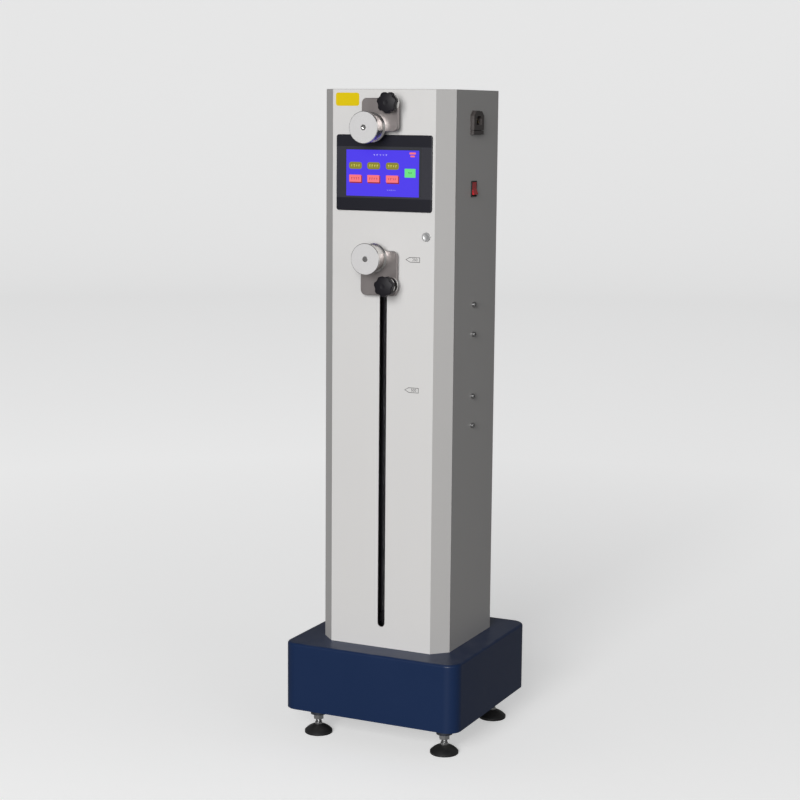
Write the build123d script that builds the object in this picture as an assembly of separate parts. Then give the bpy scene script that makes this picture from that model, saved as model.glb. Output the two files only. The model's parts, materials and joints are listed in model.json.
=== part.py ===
from build123d import *
import math
import os

# A single-column yarn strength tester. Millimetres. X runs to the right, -Y towards the operator, +Z up.
# The origin is on the floor, under the middle of the base.

# Base and feet
base_width = 376
base_depth = 364
base_height = 135.5
base_corner = 27
base_edge = 5
base_wall = 3
base_roof = 4
base_plate_thick = 6
base_flange = 18
foot_height = 61.5
foot_inset_x = 49
foot_inset_y = 60
foot_pad_radius = 28
foot_pad_height = 17.6
foot_boss_radius = 16
foot_boss_height = 22
foot_nut_flats = 19
foot_nut_height = 10
foot_stud_radius = 6
foot_stud_spare = 18

# Column
column_flat = 216
column_chamfer = 29
column_depth = 262
column_height = 1086.5
column_wall = 2
column_setback = 55
column_lip = 20
cover_thick = 1.5
cover_margin = 8
cap_thick = 2
cap_skirt = 10
slot_aside = 1.7
slot_width = 15.5
slot_foot_up = 41.5

# Spine, guides and screw
spine_width = 130
spine_depth = 60
spine_wall = 5
spine_foot_thick = 10
spine_foot_margin = 20
spine_top_up = 1009
land_width = 24
land_height = 10
rail_spacing = 76
rail_width = 15
rail_height = 12.5
rail_foot_up = 53
block_width = 34
block_length = 61
block_stand = 28
screw_radius = 8
journal_radius = 5
screw_ahead = 22
nut_radius = 14
nut_length = 42
bearing_radius = 13
bearing_width = 8
bearing_block_height = 25
bearing_block_depth = 40
side_screw_back = 121
side_screw_pitch = 58
lower_bracket_up = 466
upper_bracket_up = 646

# Drive in the base
motor_size = 60
motor_clear = 17.5
motor_shaft_radius = 4
screw_teeth = 30
motor_teeth = 20
tooth_pitch = 5
pulley_width = 18
belt_width = 15
belt_thick = 3

# Clamps
capstan_aside = -11.6
capstan_up = 1015
clamp_distance = 246.3
capstan_radius = 30
drum_radius = 25
capstan_length = 38.7
rim_thick = 5
plate_thick = 8
plate_width = 75
plate_corner = 10
upper_plate_aside = 3
upper_plate_stand = 25
upper_plate_height = 62
upper_plate_below = 7.5
lower_plate_aside = -2.4
lower_plate_stand = 15
lower_plate_height = 85.4
lower_plate_above = 14
upper_knob_aside = 25.6
lower_knob_aside = 27.4
upper_knob_rise = 46
lower_knob_drop = 50.7
knob_radius = 20
knob_lobes = 7
knob_scallop = 9
knob_scallop_depth = 2.6
knob_head = 15
knob_hub = 4.8
stud_radius = 4
stud_length = 20
jaw_radius = 15.5
jaw_seat = 4
jaw_thick = 4
lower_jaw_open = 10
arm_width = 12
arm_height = 60

# Load cell
cell_width = 30
cell_height = 40
cell_length = 126
cell_ahead = 106

# Touch panel, button, switch and inlet
panel_aside = 2
panel_foot_up = 857
panel_width = 201
panel_height = 144
panel_stand = 4
panel_box_depth = 36
panel_box_margin = 5
window_width = 158
window_height = 94
window_rise = 3
button_aside = 91
button_up = 811
button_radius = 8.6
button_stand = 2.5
rocker_back = 114.7
rocker_up = 899
rocker_width = 25.5
rocker_height = 31
rocker_tilt = 10
rocker_pin_radius = 1.5
inlet_back = 119.8
inlet_up = 1024.8
inlet_width = 50.5
inlet_height = 45.5
inlet_stand = 8

# Electronics on the beam's back
supply_up = 110
supply_height = 160
driver_up = 330
driver_height = 118
board_up = 700
board_height = 150

# Clearances
running_gap = 0.05
sliding_gap = 0.1
loose_gap = 0.2
closed_jaw_gap = 0.3

# Levels and faces that follow from the sizes above
column_foot = foot_height + base_height
column_top = column_foot + column_height
casing_top = column_top - cap_thick
column_width = column_flat + 2 * column_chamfer
front = column_setback - base_depth / 2
back = front + column_depth
right = column_width / 2
spine_middle = front + side_screw_back
spine_front = spine_middle - spine_depth / 2
spine_back = spine_middle + spine_depth / 2
spine_foot = column_foot + spine_foot_thick
spine_top = column_foot + spine_top_up
rail_face = spine_front - land_height
carriage_back = rail_face - block_stand
carriage_thick = 10
carriage_front = carriage_back - carriage_thick
screw_line = spine_front - screw_ahead
capstan_high = column_foot + capstan_up
capstan_low = capstan_high - clamp_distance
upper_plate_face = front - upper_plate_stand
lower_plate_face = front - lower_plate_stand
upper_plate_foot = capstan_high - upper_plate_below
lower_plate_top = capstan_low + lower_plate_above
lower_plate_foot = lower_plate_top - lower_plate_height
carriage_middle = (lower_plate_top + lower_plate_foot) / 2
knob_high = capstan_high + upper_knob_rise
knob_low = capstan_low - lower_knob_drop
cell_middle = spine_top + 10 + cell_height / 2
upper_knob_across = upper_plate_aside + upper_knob_aside
lower_knob_across = lower_plate_aside + lower_knob_aside
slot_foot = column_foot + slot_foot_up
slot_top = carriage_middle + arm_height / 2 + 6
panel_foot = column_foot + panel_foot_up
panel_middle = panel_foot + panel_height / 2
screw_top = carriage_middle + 40 + 13 + bearing_block_height
spine_foot_width = spine_width + 2 * spine_foot_margin
pulley_foot = column_foot - base_roof - pulley_width - 6
motor_offset = base_width / 4
motor_top = pulley_foot - 12
motor_length = motor_top - foot_height - base_plate_thick - motor_clear
foot_places = [
    (side * (base_width / 2 - foot_inset_x), end * (base_depth / 2 - foot_inset_y))
    for end in (-1, 1)
    for side in (-1, 1)
]
side_screw_places = [
    (side, column_foot + level + end * side_screw_pitch / 2)
    for side in (-1, 1)
    for level in (lower_bracket_up, upper_bracket_up)
    for end in (-1, 1)
]
spine_screw_places = [
    (side * (spine_foot_width / 2 - 12), spine_middle + end * 24)
    for side in (-1, 1)
    for end in (-1, 1)
]
cover_height = casing_top - column_foot - 2 * cover_margin
cover_middle = (casing_top + column_foot) / 2
cover_screw_places = [
    (side * (column_flat / 2 - column_lip / 2), cover_middle + step * (cover_height - 24) / 5)
    for side in (-1, 1)
    for step in (-2.5, -1.5, -0.5, 0.5, 1.5, 2.5)
]
plate_screw_places = [
    (side * (base_width / 2 - base_wall - base_flange / 2), end * base_depth / 4)
    for side in (-1, 1)
    for end in (-1, 1)
] + [
    (side * base_width / 4, end * (base_depth / 2 - base_wall - base_flange / 2))
    for side in (-1, 1)
    for end in (-1, 1)
]


# Shapes used all over the model

def block(x, y, z):
    """A box between a low and a high limit along each axis."""
    sizes = [high - low for low, high in (x, y, z)]
    middle = [(high + low) / 2 for low, high in (x, y, z)]
    return Pos(*middle) * Box(*sizes)


def rod_x(radius, x, y, z):
    """A round bar along X between two limits."""
    return Pos((x[0] + x[1]) / 2, y, z) * Rot(0, 90, 0) * Cylinder(radius, x[1] - x[0])


def rod_y(radius, x, y, z):
    """A round bar along Y between two limits."""
    return Pos(x, (y[0] + y[1]) / 2, z) * Rot(90, 0, 0) * Cylinder(radius, y[1] - y[0])


def rod_z(radius, x, y, z):
    """A round bar along Z between two limits."""
    return Pos(x, y, (z[0] + z[1]) / 2) * Cylinder(radius, z[1] - z[0])


def facing_front(x, y, z):
    """A drawing plane that looks at the operator."""
    return Plane(origin=(x, y, z), x_dir=(1, 0, 0), z_dir=(0, -1, 0))


def facing_right(x, y, z):
    """A drawing plane that looks to the right."""
    return Plane(origin=(x, y, z), x_dir=(0, 1, 0), z_dir=(1, 0, 0))


def upright_prism(plan, z):
    """A plan view drawn up between two heights."""
    return extrude(Pos(0, 0, z[0]) * plan, z[1] - z[0])


def turned(points):
    """A turned piece from its half section, given as radius and height, standing on the origin."""
    return revolve(Plane.XZ * make_face(Polyline(*points, close=True)), Axis.Z)


def hexagon(flats):
    """A hexagon given across its flats."""
    return RegularPolygon(flats / 2, 6, major_radius=False)


def group(pieces):
    """Separate solids kept together as one node."""
    return pieces[0] + pieces[1:]


def save(name, shape):
    """Writes one node."""
    export_step(shape, f"parts/{name}.step")


# Base and feet

def base_housing():
    """A folded and welded box, open below, with a return flange that the base plate is screwed to."""
    roof = foot_height + base_height
    outer = upright_prism(RectangleRounded(base_width, base_depth, base_corner), (foot_height, roof))
    outer = fillet(outer.faces().sort_by(Axis.Z)[-1].edges(), base_edge)
    inner_width = base_width - 2 * base_wall
    inner_depth = base_depth - 2 * base_wall
    inner_plan = RectangleRounded(inner_width, inner_depth, base_corner - base_wall)
    opening = RectangleRounded(inner_width - 2 * base_flange, inner_depth - 2 * base_flange, base_corner - base_wall)
    flange_foot = foot_height + base_plate_thick
    flange = upright_prism(inner_plan - opening, (flange_foot, flange_foot + base_wall))
    shell = outer - upright_prism(inner_plan, (foot_height, roof - base_roof)) + flange
    shell -= rod_z(15, 0, screw_line, (roof - base_roof, roof))
    for x, y in spine_screw_places:
        shell -= rod_z(3 + sliding_gap, x, y, (roof - base_roof, roof))
    for x, y in plate_screw_places:
        shell -= rod_z(2 + sliding_gap, x, y, (flange_foot, flange_foot + base_wall))
    return shell


def base_plate():
    """The thick plate that closes the base and carries the feet."""
    gap = base_wall + 0.5
    plan = RectangleRounded(base_width - 2 * gap, base_depth - 2 * gap, base_corner - gap)
    plate = upright_prism(plan, (foot_height, foot_height + base_plate_thick))
    for x, y in foot_places:
        plate -= rod_z(foot_stud_radius + running_gap, x, y, (foot_height, foot_height + base_plate_thick))
    for x, y in plate_screw_places:
        plate -= rod_z(2 + sliding_gap, x, y, (foot_height, foot_height + base_plate_thick))
    return plate


def foot_bosses():
    """Four threaded bosses welded under the base plate."""
    z = (foot_height - foot_boss_height, foot_height)
    bore = foot_stud_radius + running_gap
    return group([rod_z(foot_boss_radius, x, y, z) - rod_z(bore, x, y, z) for x, y in foot_places])


def foot_lock_nuts():
    """Four hexagon nuts that lock the feet against their bosses."""
    top = foot_height - foot_boss_height
    z = (top - foot_nut_height, top)
    plan = hexagon(foot_nut_flats) - Circle(foot_stud_radius + running_gap)
    return group([Pos(x, y) * upright_prism(plan, z) for x, y in foot_places])


def foot_pad(x, y):
    """A moulded bell-shaped pad with a socket for the stud's end."""
    rim = 5.5
    neck = 9
    lip = Line((0, 0), (foot_pad_radius - 1, 0))
    bevel = Line(lip @ 1, (foot_pad_radius, 1))
    side = Line(bevel @ 1, (foot_pad_radius, rim))
    bell = ThreePointArc(
        side @ 1,
        ((foot_pad_radius + neck) / 2 + 1.5, (rim + foot_pad_height) / 2 + 1),
        (neck, foot_pad_height),
    )
    top = Line(bell @ 1, (0, foot_pad_height))
    half = make_face(lip + bevel + side + bell + top + Line(top @ 1, (0, 0)))
    pad = revolve(Plane.XZ * half, Axis.Z)
    pad -= rod_z(5 + running_gap, 0, 0, (foot_pad_height - 8, foot_pad_height))
    return Pos(x, y) * pad


def foot_stud(x, y):
    """A threaded stud with a hexagon collar for the spanner and an end that turns in the pad."""
    collar = (foot_pad_height, foot_pad_height + 4.5)
    top = foot_height + base_plate_thick + foot_stud_spare
    stud = upright_prism(hexagon(14), collar)
    stud += rod_z(foot_stud_radius, 0, 0, (collar[1], top))
    stud += rod_z(5, 0, 0, (foot_pad_height - 7.5, foot_pad_height))
    return Pos(x, y) * chamfer(stud.edges().sort_by(Axis.Z)[-1], 1)


# Column

def column_plan(inset=0):
    """The column seen from above: a rectangle with its four corners cut, drawn in from the skin."""
    plan = Pos(0, (front + back) / 2) * Rectangle(column_width, column_depth)
    plan = chamfer(plan.vertices(), column_chamfer)
    return offset(plan, -inset, kind=Kind.INTERSECTION) if inset else plan


def column_casing():
    """The folded sheet casing, open at the top, the bottom and the back, with all its cut-outs."""
    z = (column_foot, casing_top)
    casing = upright_prism(column_plan() - column_plan(column_wall), z)
    door = column_flat / 2 - column_lip
    casing -= block((-door, door), (back - column_wall - 1, back + 1), z)
    wall = (front - 1, front + column_wall + 1)
    slot = facing_front(slot_aside, wall[1], (slot_foot + slot_top) / 2)
    casing -= extrude(slot * SlotOverall(slot_top - slot_foot, slot_width, rotation=90), column_wall + 2)
    half = panel_width / 2 - panel_box_margin + 0.5
    rise = panel_height / 2 - panel_box_margin + 0.5
    casing -= block((panel_aside - half, panel_aside + half), wall, (panel_middle - rise, panel_middle + rise))
    casing -= rod_y(16, 0, wall, cell_middle)
    casing -= rod_y(button_radius - 1 + loose_gap, button_aside, wall, column_foot + button_up)
    for side, level in side_screw_places:
        casing -= rod_x(3 + loose_gap, (side * right - 4, side * right + 4), spine_middle, level)
    side_wall = (right - column_wall - 1, right + 1)
    half = rocker_width / 2 - 1.3
    rise = rocker_height / 2 - 1.3
    y = front + rocker_back
    level = column_foot + rocker_up
    casing -= block(side_wall, (y - half, y + half), (level - rise, level + rise))
    half = inlet_width / 2 - 4.8
    rise = inlet_height / 2 - 3.8
    y = front + inlet_back
    level = column_foot + inlet_up
    casing -= block(side_wall, (y - half, y + half), (level - rise, level + rise))
    for x, level in cover_screw_places:
        casing -= rod_y(2 + sliding_gap, x, (back - column_wall - 1, back + 1), level)
    return casing


def rear_cover():
    """The flat service cover on the column's back, with louvre slots low and high."""
    width = column_flat - 16
    z = (cover_middle - cover_height / 2, cover_middle + cover_height / 2)
    cover = block((-width / 2, width / 2), (back, back + cover_thick), z)
    for x, level in cover_screw_places:
        cover -= rod_y(2 + sliding_gap, x, (back, back + cover_thick), level)
    for side in (-1, 1):
        for end in (-1, 1):
            for row in range(8):
                level = cover_middle + end * (cover_height / 2 - 60 - 12 * row)
                x = side * 36
                cover -= block((x - 30, x + 30), (back, back + cover_thick), (level - 2, level + 2))
    return cover


def top_cap():
    """The column's lid, with a skirt that drops inside the casing."""
    skirt_out = column_wall + 0.15
    skirt = column_plan(skirt_out) - column_plan(skirt_out + 1.5)
    lid = upright_prism(column_plan(), (casing_top, column_top))
    lid = chamfer(lid.faces().sort_by(Axis.Z)[-1].edges(), 0.8)
    return lid + upright_prism(skirt, (casing_top - cap_skirt, casing_top))


def panel_screws():
    """Pan-head screws of the rear cover and the base plate."""
    head = turned([(0, 0), (3.8, 0), (3.8, 1.4), (2.6, 2.4), (0, 2.4)])
    shank = Pos(0, 0, -4) * Cylinder(2, 8)
    screw = head + shank - Pos(0, 0, 2.4) * (Box(0.9, 3.6, 2.4) + Box(3.6, 0.9, 2.4))
    pieces = [Pos(x, back + cover_thick, level) * Rot(-90, 0, 0) * screw for x, level in cover_screw_places]
    pieces += [Pos(x, y, foot_height) * Rot(180, 0, 0) * screw for x, y in plate_screw_places]
    return group(pieces)


# Spine and guides

def spine():
    """A box-section beam with two machined lands for the rails, on a welded foot plate."""
    plan = Pos(0, spine_middle) * (
        Rectangle(spine_width, spine_depth)
        - Rectangle(spine_width - 2 * spine_wall, spine_depth - 2 * spine_wall)
    )
    beam = upright_prism(plan, (spine_foot, spine_top))
    for side in (-1, 1):
        x = side * rail_spacing / 2
        across = (x - land_width / 2, x + land_width / 2)
        beam += block(across, (rail_face, spine_front), (spine_foot, column_foot + panel_foot_up - 54))
    foot_front = screw_line - bearing_block_depth / 2 - 2
    foot = block(
        (-spine_foot_width / 2, spine_foot_width / 2),
        (foot_front, spine_back + 20),
        (column_foot, spine_foot),
    )
    foot -= rod_z(10, 0, screw_line, (column_foot, spine_foot))
    for x, y in spine_screw_places:
        foot -= rod_z(3 + sliding_gap, x, y, (column_foot, spine_foot))
    return beam + foot


def side_brackets():
    """Four channel brackets that tie the beam to the casing's sides."""
    thick = 4
    inner = spine_width / 2
    outer = right - column_wall
    half = 15
    y = (spine_middle - half, spine_middle + half)
    z = (-side_screw_pitch / 2 - 10, side_screw_pitch / 2 + 10)
    web = block((inner, outer), (y[0], y[0] + thick), z)
    on_spine = block((inner, inner + thick), y, z)
    on_casing = block((outer - thick, outer), y, z)
    bracket = web + on_spine + on_casing
    for end in (-1, 1):
        bracket -= rod_x(3 + sliding_gap, (outer - thick, outer), spine_middle, end * side_screw_pitch / 2)
    pieces = []
    for level in (lower_bracket_up, upper_bracket_up):
        raised = Pos(0, 0, column_foot + level) * bracket
        pieces += [raised, mirror(raised, Plane.YZ)]
    return group(pieces)


def cap_screws():
    """Socket-head cap screws: eight through the casing's sides and four in the spine's foot plate."""
    screw = Pos(0, 0, 3) * Cylinder(5, 6) + Pos(0, 0, -8) * Cylinder(3, 16)
    screw = chamfer(screw.faces().sort_by(Axis.Z)[-1].edges(), 0.6)
    screw -= upright_prism(hexagon(5), (3, 6))
    pieces = [
        Pos(side * right, spine_middle, level) * Rot(0, side * 90, 0) * screw
        for side, level in side_screw_places
    ]
    pieces += [Pos(x, y, spine_foot) * screw for x, y in spine_screw_places]
    return group(pieces)


def guide_rails():
    """Two profile rails with their mounting holes."""
    half = rail_width / 2
    depth = rail_height
    section = make_face(
        Polyline(
            (-half, 0),
            (-half, 0.35 * depth),
            (-half + 2, 0.5 * depth),
            (-half + 2, 0.65 * depth),
            (-half, 0.8 * depth),
            (-half, depth),
            (half, depth),
            (half, 0.8 * depth),
            (half - 2, 0.65 * depth),
            (half - 2, 0.5 * depth),
            (half, 0.35 * depth),
            (half, 0),
            close=True,
        )
    )
    foot = column_foot + rail_foot_up
    top = carriage_middle + block_length / 2 + 18
    rail = extrude(Pos(0, 0, foot) * mirror(section, Plane.XZ), top - foot)
    holes = 7
    for step in range(holes):
        level = foot + (step + 0.5) * (top - foot) / holes
        rail -= rod_y(4, 0, (-depth, -depth + 5), level)
    return group([Pos(side * rail_spacing / 2, rail_face) * rail for side in (-1, 1)])


def guide_blocks():
    """Two recirculating blocks that straddle the rails."""
    half = block_width / 2
    bore = rail_width / 2 + sliding_gap
    z = (carriage_middle - block_length / 2, carriage_middle + block_length / 2)
    body = block((-half, half), (-block_stand, -4.5), z)
    body -= block((-bore, bore), (-rail_height - loose_gap, 0), z)
    for end in (-1, 1):
        for side in (-1, 1):
            level = carriage_middle + end * 13
            body -= rod_y(2, side * 13, (-block_stand, -block_stand + 6), level)
    return group([Pos(side * rail_spacing / 2, rail_face) * body for side in (-1, 1)])


def bearing_blocks():
    """Two pillow blocks that hold the screw's ends against the beam."""
    half = rail_spacing / 2 - land_width / 2 - 1
    depth = bearing_block_depth
    base = block((-half, half), (-depth, 0), (0, bearing_block_height))
    base = chamfer(base.edges().filter_by(Axis.Z).group_by(Axis.Y)[0], 6)
    base -= rod_z(journal_radius + 2, 0, -screw_ahead, (0, bearing_block_height))
    base -= rod_z(bearing_radius, 0, -screw_ahead, (bearing_block_height - bearing_width, bearing_block_height))
    lower = Pos(0, spine_front, spine_foot) * base
    upper = Pos(0, spine_front, screw_top - bearing_block_height) * base
    return group([lower, upper])


def screw_bearings():
    """Two ball bearings, seen as outer race, inner race and the shield between them."""
    bore = journal_radius + running_gap
    width = bearing_width
    shield = 0.6
    ring = turned([
        (bore, 0),
        (bore + 2, 0),
        (bore + 2, shield),
        (bearing_radius - 2, shield),
        (bearing_radius - 2, 0),
        (bearing_radius, 0),
        (bearing_radius, width),
        (bearing_radius - 2, width),
        (bearing_radius - 2, width - shield),
        (bore + 2, width - shield),
        (bore + 2, width),
        (bore, width),
    ])
    tops = (spine_foot + bearing_block_height, screw_top)
    return group([Pos(0, screw_line, top - width) * ring for top in tops])


def lead_screw():
    """The vertical screw with a journal at each end; the lower one reaches down into the base."""
    low = spine_foot + bearing_block_height
    high = screw_top - bearing_block_height
    shoulder = 3
    journal_low = pulley_foot - 2
    screw = rod_z(screw_radius, 0, screw_line, (low + shoulder, high - shoulder))
    screw += rod_z(journal_radius + 1.5, 0, screw_line, (low, high))
    screw += rod_z(journal_radius, 0, screw_line, (journal_low, screw_top))
    return screw


def ball_nut():
    """A flanged nut that hangs in the carriage's housing."""
    housing_foot = carriage_middle - 16
    flange = (Circle(18) & Rectangle(36, 27)) - Circle(screw_radius + running_gap)
    body = Circle(nut_radius) - Circle(screw_radius + running_gap)
    nut = upright_prism(flange, (housing_foot - 8, housing_foot))
    nut += upright_prism(body, (housing_foot, housing_foot + nut_length - 8))
    return Pos(0, screw_line) * nut


# Carriage and arm

def carriage_plate():
    """The plate across both blocks, with the nut's housing milled on its back."""
    half = rail_spacing / 2 + block_width / 2 + 2
    z = (carriage_middle - 40, carriage_middle + 40)
    plate = block((-half, half), (carriage_front, carriage_back), z)
    plate = chamfer(plate.edges().filter_by(Axis.Y), 4)
    housing_z = (carriage_middle - 16, carriage_middle + 16)
    housing = block((-19, 19), (carriage_back, screw_line + 16), housing_z)
    plate += housing
    plate -= rod_z(nut_radius, 0, screw_line, housing_z)
    for side in (-1, 1):
        for end in (-1, 1):
            for row in (-1, 1):
                x = side * rail_spacing / 2 + row * 13
                level = carriage_middle + end * 13
                plate -= rod_y(2.5, x, (carriage_front, carriage_back), level)
    return plate


def clamp_arm():
    """The arm through the column's slot, with a flange that the lower plate is welded to."""
    face = lower_plate_face + plate_thick
    z = (carriage_middle - arm_height / 2, carriage_middle + arm_height / 2)
    flange_thick = lower_plate_stand - plate_thick - 1
    x = (slot_aside - arm_width / 2, slot_aside + arm_width / 2)
    arm = block(x, (face, carriage_front), z)
    arm += block((slot_aside - 17, slot_aside + 17), (face, face + flange_thick), z)
    return arm - rod_x(9, x, (front + carriage_front) / 2 + 2, carriage_middle)


# Clamps

def clamp_plate(aside, face, foot, height, capstan_level, knob_across, knob_level):
    """A ground stainless plate with holes for the capstan's screw and the jaw's stud."""
    outline = RectangleRounded(plate_width, height, plate_corner)
    plate = extrude(facing_front(aside, face + plate_thick, foot + height / 2) * outline, plate_thick)
    rim = plate.faces().sort_by(Axis.Y)[0].edges()
    plate = chamfer(rim, 0.8)
    bored = (face, face + plate_thick - 2)
    plate -= rod_y(3 + running_gap, capstan_aside, bored, capstan_level)
    plate -= rod_y(stud_radius + running_gap, knob_across, bored, knob_level)
    return plate


def capstan(face, level):
    """A turned drum with a wide front rim and a low rear rim; the yarn winds round the waist."""
    length = capstan_length
    waist = drum_radius
    rear = drum_radius + 3
    blend = 3
    half_way = blend * (1 - math.cos(math.pi / 4))
    lines = [
        Line((3 + sliding_gap, 0), (rear, 0)),
        Line((rear, 0), (rear, 2)),
        Line((rear, 2), (waist + 1, 4.5)),
        ThreePointArc((waist + 1, 4.5), (waist + 0.25, 5.2), (waist, 6.5)),
        Line((waist, 6.5), (waist, length - rim_thick - blend)),
        ThreePointArc(
            (waist, length - rim_thick - blend),
            (waist + half_way, length - rim_thick - half_way),
            (waist + blend, length - rim_thick),
        ),
        Line((waist + blend, length - rim_thick), (capstan_radius - 1, length - rim_thick)),
        Line((capstan_radius - 1, length - rim_thick), (capstan_radius, length - rim_thick + 1)),
        Line((capstan_radius, length - rim_thick + 1), (capstan_radius, length - 1)),
        Line((capstan_radius, length - 1), (capstan_radius - 1, length)),
        Line((capstan_radius - 1, length), (5.4, length)),
        Line((5.4, length), (5.4, length - 4)),
        Line((5.4, length - 4), (3 + sliding_gap, length - 4)),
        Line((3 + sliding_gap, length - 4), (3 + sliding_gap, 0)),
    ]
    drum = revolve(Plane.XZ * make_face(lines), Axis.Z)
    return Pos(capstan_aside, face, level) * Rot(90, 0, 0) * drum


def capstan_screw(face, level, slotted):
    """The screw in the middle of a capstan: a socket head above, a slotted head below."""
    depth = capstan_length - 4
    screw = Pos(0, 0, depth + 2.4) * Cylinder(5, 4.8)
    screw = chamfer(screw.faces().sort_by(Axis.Z)[-1].edges(), 0.5)
    if slotted:
        screw -= Pos(0, 0, depth + 4.8) * Rot(0, 0, 45) * Box(12, 1.6, 3)
    else:
        screw -= upright_prism(hexagon(5), (depth + 2, depth + 4.8))
    shank = plate_thick - 2.5
    screw += Pos(0, 0, (depth - shank) / 2) * Cylinder(3, depth + shank)
    return Pos(capstan_aside, face, level) * Rot(90, 0, 0) * screw


def jaw_stud(across, face, level):
    """The fixed jaw seat, turned in one piece with the stud that the knob runs on."""
    shank = plate_thick - 2.5
    stud = turned([
        (0, -shank),
        (stud_radius, -shank),
        (stud_radius, 0),
        (jaw_radius, 0),
        (jaw_radius, jaw_seat - 0.5),
        (jaw_radius - 0.5, jaw_seat),
        (stud_radius, jaw_seat),
        (stud_radius, jaw_seat + stud_length - 1),
        (stud_radius - 1, jaw_seat + stud_length),
        (0, jaw_seat + stud_length),
    ])
    return Pos(across, face, level) * Rot(90, 0, 0) * stud


def jaw(across, face, level, opening):
    """The loose jaw: a washer that slides on the stud ahead of the knob."""
    bore = stud_radius + sliding_gap
    washer = turned([
        (bore, 0),
        (jaw_radius - 0.5, 0),
        (jaw_radius, 0.5),
        (jaw_radius, jaw_thick - 0.8),
        (jaw_radius - 0.8, jaw_thick),
        (bore, jaw_thick),
    ])
    rest = face - jaw_seat - closed_jaw_gap - opening
    return Pos(across, rest, level) * Rot(90, 0, 0) * washer


def star_knob(across, face, level, opening):
    """A moulded star knob: a domed disc with scallops all round, eased edges, a dished middle and a hub behind."""
    top = knob_hub + knob_head
    reach = knob_radius + knob_scallop - knob_scallop_depth
    scallops = [place * Circle(knob_scallop) for place in PolarLocations(reach, knob_lobes, start_angle=90)]
    star = Circle(knob_radius) - scallops
    star = fillet(star.vertices(), 2)
    dome = Pos(0, 0, top - 3 * knob_radius) * Sphere(3 * knob_radius)
    knob = upright_prism(star, (knob_hub, top)) & dome
    knob = fillet(knob.faces().sort_by(Axis.Z)[-1].edges(), 1.8)
    knob = chamfer(knob.faces().sort_by(Axis.Z)[0].edges(), 1)
    knob += rod_z(9, 0, 0, (0, knob_hub))
    knob -= Pos(0, 0, top + 28.6) * Sphere(29.2)
    knob -= rod_z(stud_radius + running_gap, 0, 0, (0, knob_hub + 12.5))
    rest = face - jaw_seat - closed_jaw_gap - opening - jaw_thick
    return Pos(across, rest, level) * Rot(90, 0, 0) * knob


# Load cell

def load_cell_bracket():
    """The plate that closes the beam's top, with a raised seat under the cell's fixed end."""
    plate = block(
        (-spine_width / 2, spine_width / 2),
        (spine_front, spine_back),
        (spine_top, spine_top + 6),
    )
    x = (-cell_width / 2, cell_width / 2)
    seat = block(x, (spine_front, spine_back - 12), (spine_top + 6, spine_top + 10))
    return plate + seat


def load_cell():
    """A bending-beam cell: a bar with two joined holes that leave four thin flexures."""
    near = spine_middle - cell_ahead
    z = (cell_middle - cell_height / 2, cell_middle + cell_height / 2)
    bar = block((-cell_width / 2, cell_width / 2), (near, near + cell_length), z)
    middle = near + 0.42 * cell_length
    x = (-cell_width / 2, cell_width / 2)
    for end in (-1, 1):
        bar -= rod_x(13, x, middle + end * 15, cell_middle)
    bar -= block(x, (middle - 15, middle + 15), (cell_middle - 4, cell_middle + 4))
    bar -= rod_y(4 + running_gap, 0, (near, near + 10), cell_middle)
    for step in (0, 1):
        bar -= rod_z(3, 0, near + cell_length - 12 - 22 * step, (z[1] - 12, z[1]))
    return bar


def load_cell_adapter():
    """The stub that carries the upper clamp plate on the cell, clear of the casing all round."""
    near = spine_middle - cell_ahead
    face = upper_plate_face + plate_thick
    stub = rod_y(11, 0, (face, near), cell_middle)
    stub += rod_y(18, 0, (face, face + 5), cell_middle)
    return stub + rod_y(4, 0, (near, near + 9), cell_middle)


# Drive in the base

def pulley(teeth, shaft_radius):
    """A toothed pulley with two flanges; the belt's seat is between them."""
    tip = teeth * tooth_pitch / math.pi / 2 - 0.6
    rim = (pulley_width - belt_width) / 2
    wheel = Circle(tip) - [place * Circle(1.3) for place in PolarLocations(tip, teeth)]
    toothed = upright_prism(wheel - Circle(shaft_radius), (rim - 0.2, pulley_width - rim + 0.2))
    flange = Circle(tip + 2.5) - Circle(shaft_radius)
    low = upright_prism(flange, (0, rim - 0.2))
    high = upright_prism(flange, (pulley_width - rim + 0.2, pulley_width))
    return toothed + low + high


def screw_pulley():
    """The driven pulley on the screw's lower journal."""
    return Pos(0, screw_line, pulley_foot) * pulley(screw_teeth, journal_radius)


def drive_motor():
    """A square-flanged motor that stands under its bracket, with an encoder cap below."""
    flange = upright_prism(RectangleRounded(motor_size, motor_size, 5), (-8, 0))
    foot = -motor_length
    body = upright_prism(RectangleRounded(motor_size - 4, motor_size - 4, 8), (foot + 18, -8))
    cap = upright_prism(RectangleRounded(motor_size - 10, motor_size - 10, 6), (foot, foot + 18))
    boss = rod_z(19, 0, 0, (0, 3))
    connector = block((motor_size / 2 - 5, motor_size / 2 + 6), (-12, 12), (foot + 6, foot + 16))
    motor = flange + body + cap + boss + connector
    motor -= rod_z(motor_shaft_radius + running_gap, 0, 0, (-25, 3))
    return Pos(motor_offset, screw_line, motor_top) * motor


def motor_bracket():
    """A folded bracket that hangs the motor from the base's roof."""
    roof = column_foot - base_roof
    half = motor_size / 2 + 8
    wall = 5
    y = (screw_line - half, screw_line + half)
    x = (motor_offset - half, motor_offset + half)
    bracket = block(x, y, (motor_top, motor_top + wall))
    for side in (-1, 1):
        outer = screw_line + side * half
        across = sorted((outer, outer - side * wall))
        flange = sorted((outer, outer + side * 16))
        bracket += block(x, across, (motor_top, roof))
        bracket += block(x, flange, (roof - wall, roof))
    return bracket - rod_z(19 + sliding_gap, motor_offset, screw_line, (motor_top, motor_top + wall))


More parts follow.
